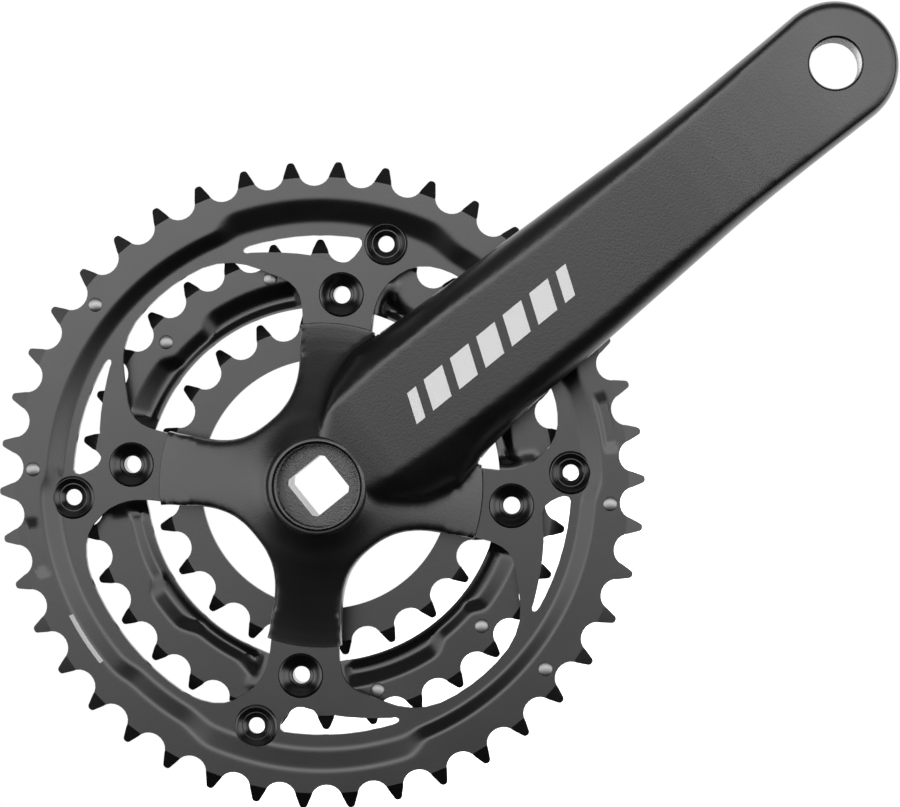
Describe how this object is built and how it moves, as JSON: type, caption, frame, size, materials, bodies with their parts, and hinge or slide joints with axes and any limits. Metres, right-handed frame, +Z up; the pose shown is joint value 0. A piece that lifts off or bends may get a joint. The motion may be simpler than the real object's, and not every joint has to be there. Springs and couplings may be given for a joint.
{
  "type": "bicycle crankset",
  "caption": "Drive-side bicycle crank arm with a forged spider and three stamped chainrings riveted to it, with a square taper bore and a pedal hole.",
  "frame": {"origin": "on the spindle axis at the hub's inner face, the face towards the bicycle frame", "axes": "+X along the crank arm to the pedal hole, +Y along the spindle axis towards the bicycle frame, +Z up when the arm points forward"},
  "size_m": [0.279, 0.052, 0.1752],
  "materials": {
    "arm_paint": "satin black paint on forged aluminium, bare metal in the pedal hole and hub bore",
    "ring_coat": "satin black electro-coat on stamped steel",
    "rivet_black": "glossier black coat on steel",
    "pin_steel": "bare bright steel"
  },
  "bodies": {
    "root": {"crank_arm": "arm_paint", "outer_chainring": "ring_coat", "middle_chainring": "ring_coat", "inner_chainring": "ring_coat", "ring_rivet_1": "rivet_black", "ring_rivet_2": "rivet_black", "ring_rivet_3": "rivet_black", "ring_rivet_4": "rivet_black", "guard_eyelet_1": "rivet_black", "guard_eyelet_2": "rivet_black", "guard_eyelet_3": "rivet_black", "guard_eyelet_4": "rivet_black", "inner_ring_rivet_1": "rivet_black", "inner_ring_rivet_2": "rivet_black", "inner_ring_rivet_3": "rivet_black", "inner_ring_rivet_4": "rivet_black", "outer_shift_pin_1": "pin_steel", "outer_shift_pin_2": "pin_steel", "outer_shift_pin_3": "pin_steel", "outer_shift_pin_4": "pin_steel", "middle_shift_pin_1": "pin_steel", "middle_shift_pin_2": "pin_steel", "middle_shift_pin_3": "pin_steel", "middle_shift_pin_4": "pin_steel"}
  },
  "joints": []
}
